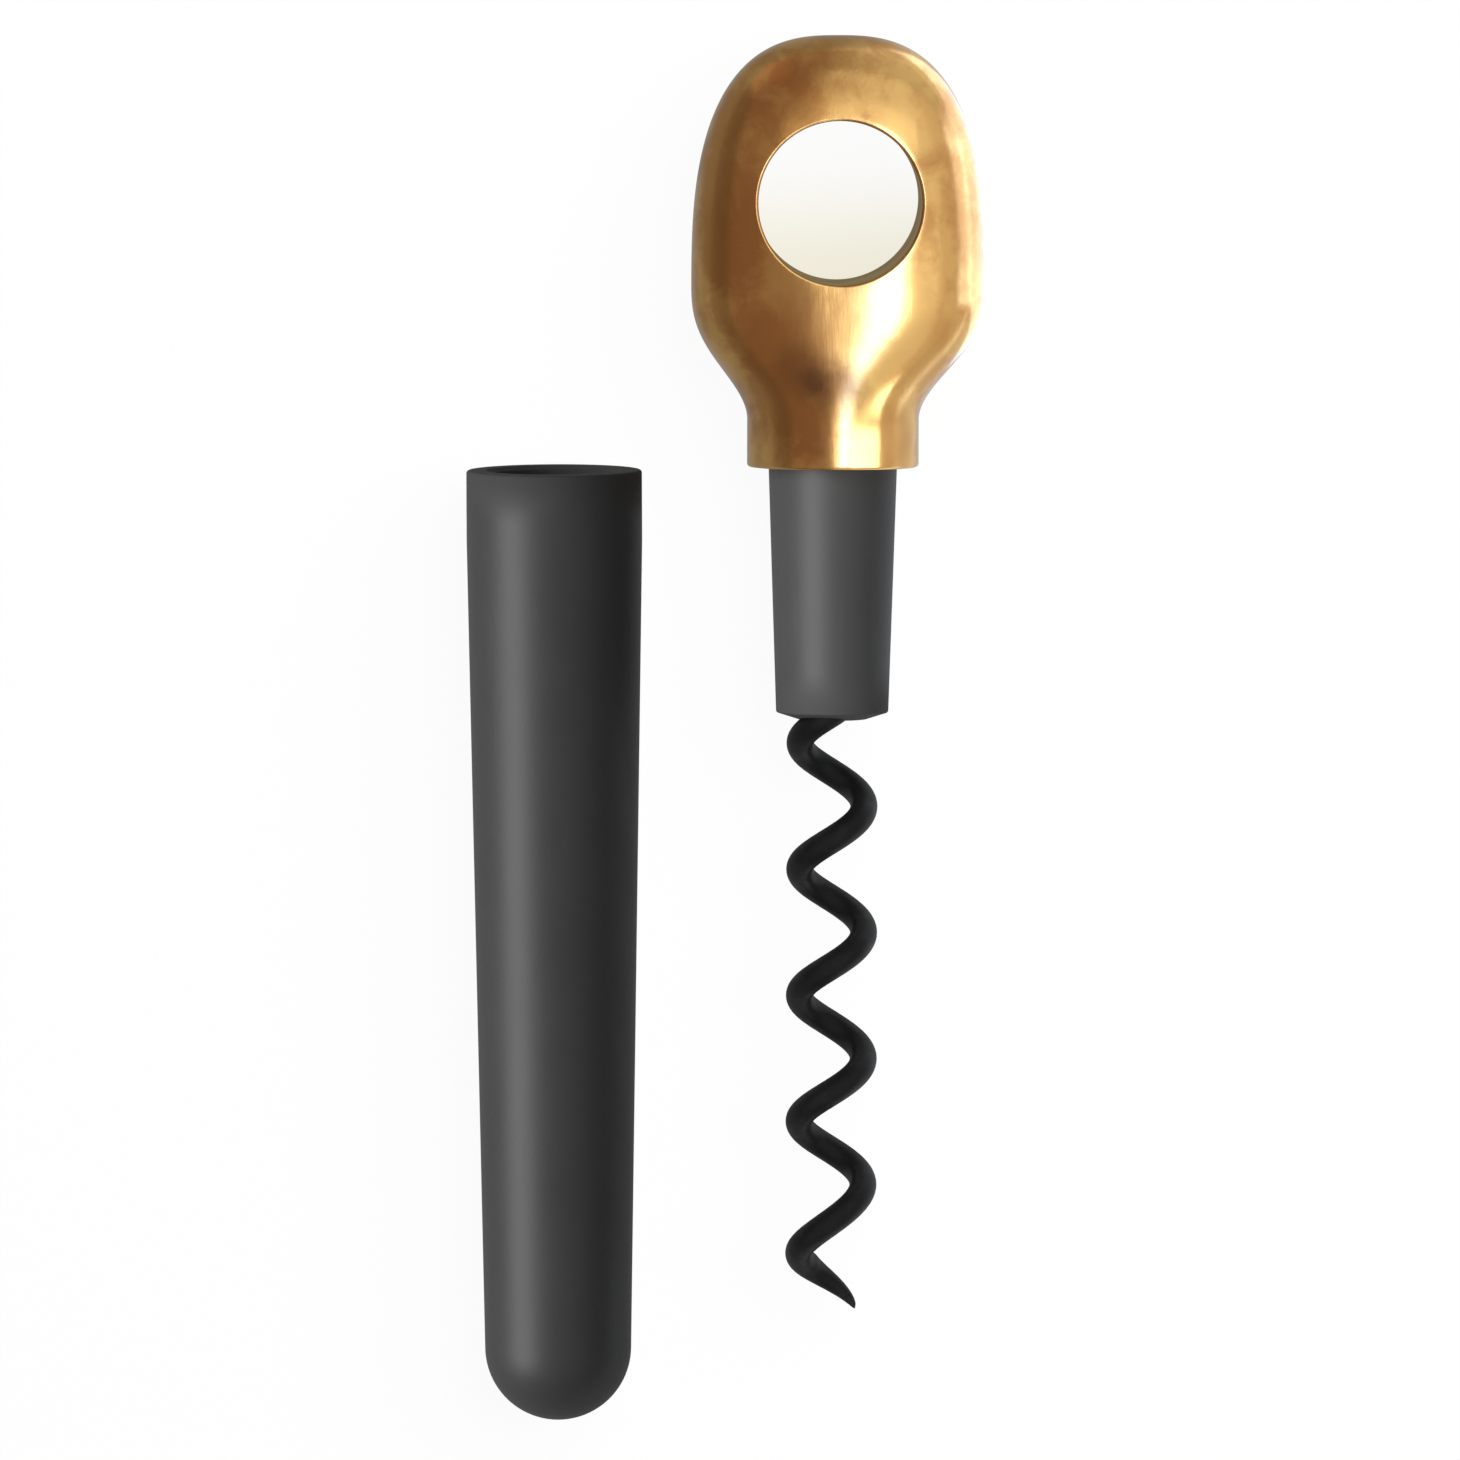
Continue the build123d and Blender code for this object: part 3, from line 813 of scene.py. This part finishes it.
def makePlastic(name, finish):
    # A fine even grain, slight mottling, faint handling marks along the piece, and the duller end
    g = plasticGrain
    material, t = newMaterial(name)
    place = t.place()
    mottle = t.noise(place, g["mottleScale"], detail=3.0, rough=0.55)
    grain = t.noise(place, g["grainScale"], detail=3.0, rough=0.6)
    marks = t.noise(t.place(g["marksScale"]), 1.0, detail=4.0, rough=0.65)
    marks = t.smooth(marks, g["marksFrom"], g["marksTo"])
    paleness = mottle * g["mottlePale"] + marks * g["marksPale"]
    base = t.blend(paleness, colour(finish["body"]), colour(finish["pale"]))
    dull = t.smooth(t.part(place, 1), finish["dullFrom"], finish["dullTo"])
    rough = finish["rough"] - g["roughDrop"] + g["mottleRough"] * mottle + g["grainRough"] * grain
    rough = rough + g["marksRough"] * marks + g["dullBy"] * dull
    shader = t.add("BsdfPrincipled", None, {
        "Base Color": base, "Roughness": rough, "Specular IOR Level": g["specular"],
        "Normal": t.bump(grain, g["bump"], g["bumpStrength"]),
    })
    t.finish(shader)
    return material


# Black coated wire

wireFinish = {
    "coat": (0.0155, 0.0155, 0.0155),
    "rubbed": (0.026, 0.0255, 0.0245),
    "steel": (0.20, 0.20, 0.20),
    "rough": 0.46,
    "specular": 0.36,
    "rubbedScale": 420.0,
    "rubbedFrom": 0.45,
    "rubbedTo": 0.68,
    "rubbedShare": 0.7,
    "pebbleScale": 6200.0,
    "wornScale": 1500.0,
    "wornFrom": 0.40,
    "wornTo": 0.62,
    "wornShare": 0.35,
    "tipFrom": -0.0560,    # Y on the table, in metres, between which the point's wear grows
    "tipTo": -0.0583,
    "pebbleRough": 0.08,   # added to the roughness
    "rubbedSmooth": 0.10,  # and taken from it
    "bump": 0.00004,       # metres
    "bumpStrength": 0.4,
}


def makeWire():
    # A fine pebbled coat, rubbed paler in places, and worn through a little at the ground point
    w = wireFinish
    material, t = newMaterial("coated_wire")
    place = t.place()
    rubbed = t.noise(place, w["rubbedScale"], detail=3.0, rough=0.6)
    rubbed = t.smooth(rubbed, w["rubbedFrom"], w["rubbedTo"])
    pebble = t.noise(place, w["pebbleScale"], detail=2.0, rough=0.55)
    tip = t.smooth(t.part(place, 1), w["tipFrom"], w["tipTo"])
    worn = t.noise(place, w["wornScale"], detail=3.0, rough=0.6)
    worn = t.smooth(worn, w["wornFrom"], w["wornTo"])
    worn = (tip * worn * w["wornShare"]).clipped()
    base = t.blend(rubbed * w["rubbedShare"], colour(w["coat"]), colour(w["rubbed"]))
    base = t.blend(worn, base, colour(w["steel"]))
    rough = w["rough"] + w["pebbleRough"] * pebble - w["rubbedSmooth"] * rubbed
    shader = t.add("BsdfPrincipled", None, {
        "Base Color": base, "Metallic": worn, "Roughness": rough, "Specular IOR Level": w["specular"],
        "Normal": t.bump(pebble, w["bump"], w["bumpStrength"]),
    })
    t.finish(shader)
    return material


# Machined steel of the pieces inside the plug and the head

steelFinish = {
    "bright": (0.56, 0.56, 0.57),
    "dull": (0.36, 0.36, 0.37),
    "rough": 0.26,
    "ringScale": 900.0,
    "ringTwist": 1.2,
    "ringDetail": 2.0,
    "mottleScale": 500.0,
    "mottleFrom": 0.35,
    "mottleTo": 0.7,
    "mottleRough": 0.18,
    "bump": 0.00002,      # metres
    "bumpStrength": 0.4,
}


def makeSteel():
    # Turned rings along the screw, and oily mottling
    s = steelFinish
    material, t = newMaterial("machined_steel")
    place = t.place()
    rings = t.add("TexWave", {"bands_direction": "Y"}, {
        "Vector": place, "Scale": s["ringScale"], "Distortion": s["ringTwist"], "Detail": s["ringDetail"],
    }, out=1)
    mottle = t.noise(place, s["mottleScale"], detail=3.0, rough=0.6)
    oily = t.smooth(mottle, s["mottleFrom"], s["mottleTo"])
    base = t.blend(oily, colour(s["bright"]), colour(s["dull"]))
    shader = t.add("BsdfPrincipled", None, {
        "Base Color": base, "Metallic": 1.0, "Roughness": s["rough"] + s["mottleRough"] * mottle,
        "Normal": t.bump(rings, s["bump"], s["bumpStrength"]),
    })
    t.finish(shader)
    return material


def dress(piece, material):
    # One material over the whole piece
    piece.data.materials.clear()
    piece.data.materials.append(material)


dress(head, makeBrass())
dress(plug, makePlastic("satin_plastic_plug", plugFinish))
dress(sheath, makePlastic("satin_plastic_sheath", sheathFinish))
dress(worm, makeWire())
steel = makeSteel()
for name in steelNames:
    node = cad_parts[name]
    if not node.material_slots:
        node.data.materials.append(steel)
    for slot in node.material_slots:
        slot.material = steel
print("materials done")


# Floor and world, in metres

studio = {
    "floorSize": 8.0,
    "floorColour": (0.86, 0.86, 0.86),
    "floorGrit": (0.84, 0.84, 0.84),
    "gritScale": 900.0,
    "floorShare": 0.955,              # how much of what the camera sees of the floor is its own white
    "floorLeft": (0.32, 0.32, 0.32),  # the floor's glow in the gloss of the pieces, left and right of the object: painted shade at the left, a paler painted reflection at the right
    "floorRight": (0.76, 0.79, 0.83),
    "leftEnds": 0.010,                # X where the left tone ends and the right one begins
    "rightBegins": 0.030,
    "paintedEyeShade": (0.21, 0.185, 0.11),  # and inside the eye: painted shade with painted warm light from the brass
    "paintedEyeShadow": (0.88, 0.84, 0.70),    # painted shadow with painted warm bounce light on the floor seen through the eye, at its lower side
    "eyeInner": 0.0085,               # both fade out between these distances from the eye's middle
    "eyeOuter": 0.012,
    "tintTop": 0.006,                 # where along Y from the eye's middle the painted shadow starts and is full
    "tintFoot": -0.009,
    "domeLeft": 0.10,
    "domeRight": 0.12,
    "domeFrom": -0.35,                # X of the direction, between which left turns to right
    "domeTo": 0.55,
    "horizon": 0.05,                  # added at the horizon
    "horizonFrom": 0.50,              # Z of the direction, between which that grows
    "horizonTo": 0.05,
}


def makeFloor():
    # A flat square on the table plane. It is white to the camera but for a painted shadow seen through the
    # eye. In the gloss of the pieces it glows at set levels as a painted reflection: painted shade at the
    # left and in the eye, paler at the right.
    s = studio
    half = s["floorSize"] / 2
    corners = [(-half, -half, 0), (half, -half, 0), (half, half, 0), (-half, half, 0)]
    mesh = bpy.data.meshes.new("floor_sheet")
    mesh.from_pydata(corners, [], [(0, 1, 2, 3)])
    sheet = bpy.data.objects.new("floor_sheet", mesh)
    bpy.context.scene.collection.objects.link(sheet)
    material, t = newMaterial("floor_white")
    camera = t.add("LightPath", out="Is Camera Ray")
    glossy = t.add("LightPath", out="Is Glossy Ray")
    through = t.add("LightPath", out="Is Transmission Ray")
    place = t.place()
    # The floor's glow in the gloss of the pieces: painted shade at the left, a paler painted reflection at
    # the right
    rightward = t.smooth(t.part(place, 0), s["leftEnds"], s["rightBegins"])
    seen = t.blend(rightward, colour(s["floorLeft"]), colour(s["floorRight"]))
    eye = (seat + np.array([headShape["bowLean"], headShape["eyeHeight"], 0])) * mm
    inEye = t.smooth(t.away(place, (eye[0], eye[1], 0)), s["eyeOuter"], s["eyeInner"])
    # Painted shadow with painted warm bounce light on the floor seen through the eye, at its lower side
    paintedEyeShadowMask = inEye * t.smooth(t.part(place, 1), eye[1] + s["tintTop"], eye[1] + s["tintFoot"])
    grit = t.noise(place, s["gritScale"], detail=3.0, rough=0.5)
    sheetColour = t.blend(grit, colour(s["floorColour"]), colour(s["floorGrit"]))
    plain = t.add("BsdfDiffuse", None, {"Color": sheetColour})
    # Painted shade with painted warm light inside the eye, in the gloss of the pieces
    seenColour = t.blend(inEye, seen, colour(s["paintedEyeShade"]))
    plainColour = t.blend(paintedEyeShadowMask, colour((1, 1, 1)), colour(s["paintedEyeShadow"]))
    glowColour = t.blend(glossy, plainColour, seenColour)
    own = t.add("Emission", None, {"Color": glowColour, "Strength": 1.0})
    share = ((camera + through) * s["floorShare"] + glossy).clipped()
    t.finish(t.add("MixShader", None, {0: share, 1: plain, 2: own}))
    sheet.data.materials.append(material)
    return sheet


def makeWorld():
    # White where the camera sees it, and a plain dim studio for the rest, a little paler at the horizon
    s = studio
    world = bpy.data.worlds.new("studio_world")
    bpy.context.scene.world = world
    t = Tree(world)
    camera = t.add("LightPath", out="Is Camera Ray")
    through = t.add("LightPath", out="Is Transmission Ray")
    direction = t.add("TexCoord", out="Generated")
    right = t.smooth(t.part(direction, 0), s["domeFrom"], s["domeTo"])
    low = t.smooth(t.part(direction, 2), s["horizonFrom"], s["horizonTo"])
    level = s["domeLeft"] + (s["domeRight"] - s["domeLeft"]) * right + low * s["horizon"]
    seen = (camera + through).clipped()
    shade = t.blend((level * (1 - seen) + seen).clipped(), colour((0, 0, 0)), colour((1, 1, 1)))
    t.finish(t.add("Background", None, {"Color": shade, "Strength": 1.0}), "OutputWorld")


# Lamps, in metres

# Most of them light the metal alone, because it shows its studio as a mirror does: dim and warm from the
# left, brighter from the right, with a key right of the top.
white = (1, 1, 1)
warm = (1.0, 0.66, 0.54)
paleWarm = (1.0, 0.90, 0.84)
creamy = (1.0, 0.86, 0.72)

# Level sheets overhead that light the metal: span along X, span along Y, height, radiance and tint
metalSheets = {
    "right_sheet": ((0.011, 0.66), (-0.90, 0.95), 0.560, 0.54, white),
    "right_sheet_end": ((0.66, 1.30), (-0.90, 0.95), 0.560, 0.44, paleWarm),
    "left_sheet": ((-0.93, 0.011), (-0.90, 0.95), 0.562, 0.160, warm),
    "key_softbox": ((0.055, 0.285), (-0.055, 0.28), 0.55, 1.1, white),
    "key_core": ((0.074, 0.23), (-0.050, 0.26), 0.545, 3.4, (0.13, 0.38, 1.0)),
    "key_edge": ((0.000, 0.052), (-0.055, 0.24), 0.55, 0.36, (1.0, 0.80, 0.7)),
    "key_top": ((0.000, 0.40), (0.28, 0.42), 0.55, 0.28, white),
    "key_top_left": ((-0.17, 0.000), (0.23, 0.36), 0.55, 0.26, creamy),
    "key_top_middle": ((-0.07, 0.011), (0.36, 0.56), 0.55, 0.22, creamy),
    "key_wing": ((0.31, 0.60), (-0.055, 0.10), 0.55, 0.14, white),
}

# Walls and low cards that light the metal: middle, a point that they face, width, height, radiance, tint
metalCards = {
    "right_wall": ((1.31, 0.02, 0.28), (0.011, 0.02, 0.28), 0.55, 1.85, 0.40, paleWarm),
    "bow_card": ((0.090, 0.066, 0.018), (0, 0.066, 0.018), 0.034, 0.064, 1.40, (0.44, 0.60, 1.0)),
    "bow_floor": ((0.328, 0.067, 0.0006), (0.328, 0.067, 1), 0.604, 0.070, 1.25, (0.46, 0.62, 1.0)),
    "foot_floor": ((0.161, -0.0245, 0.0006), (0.161, -0.0245, 1), 0.278, 0.069, 0.55, (0.50, 0.64, 1.0)),
    "neck_card": (
        (0.0207, 0.0257, 0.0238), (0.0140, 0.0257, 0.0164), 0.0100, 0.0086, 2.5, (0.70, 0.85, 1.0),
    ),
    "left_wall": ((-0.95, 0.02, 0.28), (0.011, 0.02, 0.28), 0.55, 1.85, 0.07, warm),
    "front_wall_right": ((0.66, -0.92, 0.28), (0.66, 0, 0.28), 0.55, 1.30, 0.40, white),
    "back_wall_right": ((0.70, 0.98, 0.28), (0.70, 0, 0.28), 0.55, 1.22, 0.38, white),
    "back_wall_middle": ((-0.10, 0.98, 0.28), (-0.10, 0, 0.28), 0.55, 0.38, 0.15, warm),
    "back_wall_left": ((-0.61, 0.98, 0.28), (-0.61, 0, 0.28), 0.55, 0.64, 0.26, warm),
}

# Strips at the left for the satin black pieces, and the floor's own light, with values like the cards'
plainLamps = {
    "sheath_strip": ((-0.69, -0.02, 0.42), (-0.017, -0.02, 0.0), 0.50, 1.0, 4.6, white),
    "plug_strip": ((-0.46, 0.01, 0.58), (0.011, 0.01, 0.0), 0.50, 1.0, 3.9, white),
    "floor_light": ((0.46, 0.35, 0.76), (0.0, 0.0, 0.0), 1.0, 1.0, 3.9, white),
}
blackFill = ((-0.8, 0.8), (-0.8, 0.8), 0.60, 0.25, white)  # a level sheet over the black pieces


def makeLamp(name, receivers, middle, aim, width, height, radiance, tint):
    # A flat rectangular lamp that lights its receivers alone, given by the radiance of its face:
    # watts = 4 x area x radiance. Its height runs along the table's Y and its width square to that.
    # One that faces along Y has its width along Z.
    lamp = bpy.data.lights.new(name, "AREA")
    lamp.shape = "RECTANGLE"
    lamp.size = width
    lamp.size_y = height
    lamp.energy = 4 * width * height * radiance
    lamp.color = tint
    box = bpy.data.objects.new(name, lamp)
    bpy.context.scene.collection.objects.link(box)
    back = (Vector(middle) - Vector(aim)).normalized()
    facesAlongY = abs(back.y) > 0.9
    level = Vector((1, 0, 0)) if facesAlongY else Vector((0, 1, 0))
    across = level.cross(back).normalized()
    turn = Matrix((across, back.cross(across), back)).transposed()
    box.matrix_world = Matrix.Translation(Vector(middle)) @ turn.to_4x4()
    box.visible_camera = False
    group = bpy.data.collections.new(name + "_lights")
    for piece in receivers:
        group.objects.link(piece)
    box.light_linking.receiver_collection = group


def makeSheet(name, receivers, acrossSpan, alongSpan, height, radiance, tint):
    # A level lamp overhead, from its spans along X and Y
    middle = ((acrossSpan[0] + acrossSpan[1]) / 2, (alongSpan[0] + alongSpan[1]) / 2)
    width, depth = acrossSpan[1] - acrossSpan[0], alongSpan[1] - alongSpan[0]
    makeLamp(name, receivers, (*middle, height), (*middle, 0), width, depth, radiance, tint)


floor = makeFloor()
makeWorld()
metalPieces = [head] + [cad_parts[name] for name in steelNames]
for name, values in metalSheets.items():
    makeSheet(name, metalPieces, *values)
for name, values in metalCards.items():
    makeLamp(name, metalPieces, *values)
makeLamp("sheath_strip", [sheath], *plainLamps["sheath_strip"])
makeLamp("plug_strip", [plug], *plainLamps["plug_strip"])
makeSheet("black_fill", [plug, sheath, worm], *blackFill)
makeLamp("floor_light", [floor], *plainLamps["floor_light"])
sheath.visible_glossy = False  # keeps its dark reflection out of the brass


# Camera: a long lens, straight down but for a few degrees, with the head at the top of the picture

cameraPlace = {
    "position": (-0.041366, 0.12117, 1.936255),
    "target": (0.000505, -0.000059, 0.00855),
    "lens": 477.5575,
    "sensor": 36.0,
    "roll": -0.056,  # degrees
    "near": 0.05,
    "far": 40.0,
}


def makeCamera():
    # It looks from its position to the target. Right is turned from the table's X by the roll.
    c = cameraPlace
    lens = bpy.data.cameras.new("camera")
    lens.sensor_width = c["sensor"]
    lens.sensor_fit = "HORIZONTAL"
    lens.lens = c["lens"]
    lens.clip_start = c["near"]
    lens.clip_end = c["far"]
    camera = bpy.data.objects.new("camera", lens)
    bpy.context.scene.collection.objects.link(camera)
    back = (Vector(c["position"]) - Vector(c["target"])).normalized()
    roll = math.radians(c["roll"])
    up = back.cross(Vector((math.cos(roll), -math.sin(roll), 0))).normalized()
    turn = Matrix((up.cross(back), up, back)).transposed()
    camera.matrix_world = Matrix.Translation(Vector(c["position"])) @ turn.to_4x4()
    bpy.context.scene.camera = camera


makeCamera()
bpy.context.scene.view_settings.view_transform = "Standard"
print("studio done")
